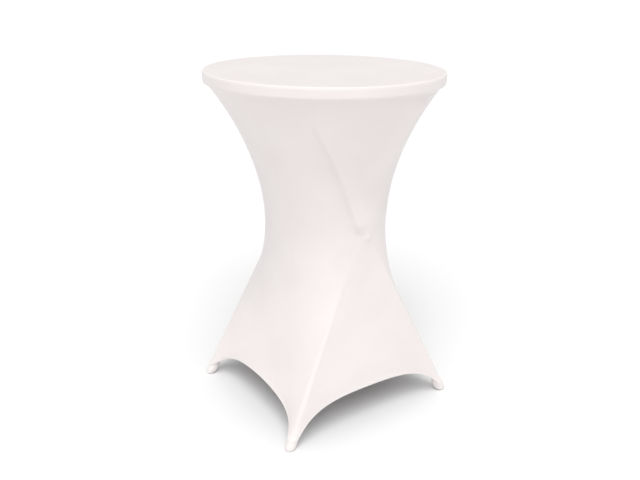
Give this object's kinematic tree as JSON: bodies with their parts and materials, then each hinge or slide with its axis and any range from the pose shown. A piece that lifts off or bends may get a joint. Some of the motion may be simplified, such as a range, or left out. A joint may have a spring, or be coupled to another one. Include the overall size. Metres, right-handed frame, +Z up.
{
  "type": "stretch table cover on a round folding bar table",
  "caption": "White stretch fabric cover over a tall round folding table, with a waisted skirt, arched hems and a pocket on each foot.",
  "frame": {"origin": "on the floor under the middle of the table", "axes": "+Z up; X is the direction in which the leg frames scissor, with the outer frame's feet at +X; Y is the frames' hinge direction, front at -Y"},
  "size_m": [0.8, 0.8, 1.2],
  "materials": {
    "stretch_fabric": "white polyester and elastane warp knit, matt with a faint sheen",
    "seam_thread": "overlocked seam in white polyester thread",
    "board_laminate": "particle board with a light grey laminate",
    "edge_plastic": "moulded dark grey edge band",
    "coated_steel": "grey powder-coated steel tube",
    "zinc_steel": "zinc-plated steel fasteners",
    "black_nylon": "moulded black nylon",
    "grey_rubber": "dark rubber foot cap"
  },
  "bodies": {
    "outer_frame": {"cover_skirt": "stretch_fabric", "hem_front": "stretch_fabric", "hem_rear": "stretch_fabric", "hem_right": "stretch_fabric", "outer_foot_cap_front": "grey_rubber", "outer_foot_cap_rear": "grey_rubber", "outer_foot_pocket_front": "stretch_fabric", "outer_foot_pocket_rear": "stretch_fabric", "outer_leg_front": "coated_steel", "outer_leg_rear": "coated_steel", "outer_stretcher": "coated_steel", "outer_top_bar": "coated_steel", "outer_top_plug_front": "black_nylon", "outer_top_plug_rear": "black_nylon", "pivot_bolt_front": "zinc_steel", "pivot_bolt_rear": "zinc_steel", "pivot_nut_front": "zinc_steel", "pivot_nut_rear": "zinc_steel", "pivot_spacer_front": "black_nylon", "pivot_spacer_rear": "black_nylon"},
    "inner_frame": {"hem_left": "stretch_fabric", "inner_foot_cap_front": "grey_rubber", "inner_foot_cap_rear": "grey_rubber", "inner_foot_pocket_front": "stretch_fabric", "inner_foot_pocket_rear": "stretch_fabric", "inner_leg_front": "coated_steel", "inner_leg_rear": "coated_steel", "inner_stretcher": "coated_steel", "inner_top_bar": "coated_steel", "inner_top_plug_front": "black_nylon", "inner_top_plug_rear": "black_nylon"},
    "tabletop": {"bracket_screw_1": "zinc_steel", "bracket_screw_2": "zinc_steel", "bracket_screw_3": "zinc_steel", "bracket_screw_4": "zinc_steel", "bracket_screw_5": "zinc_steel", "bracket_screw_6": "zinc_steel", "bracket_screw_7": "zinc_steel", "bracket_screw_8": "zinc_steel", "cover_rim_band": "stretch_fabric", "cover_top_panel": "stretch_fabric", "cover_top_seam": "seam_thread", "hinge_bracket_front": "black_nylon", "hinge_bracket_rear": "black_nylon", "rest_clip_front": "black_nylon", "rest_clip_rear": "black_nylon", "tabletop_board": "board_laminate", "tabletop_edge_band": "edge_plastic"}
  },
  "joints": [
    {"name": "leg_fold", "type": "hinge", "parent": "outer_frame", "child": "inner_frame", "pos_m": [0, 0, 0.684], "axis": [0, -1, 0], "range_deg": [0, 48], "deforming": ["cover_skirt", "hem_front", "hem_rear"]},
    {"name": "top_tilt", "type": "hinge", "parent": "outer_frame", "child": "tabletop", "pos_m": [-0.22444, 0, 1.1382], "axis": [0, -1, 0], "range_deg": [0, 105.6]}
  ],
  "couplings": [
    {"joint": "top_tilt", "follows": "leg_fold", "ratio": 2.2}
  ]
}
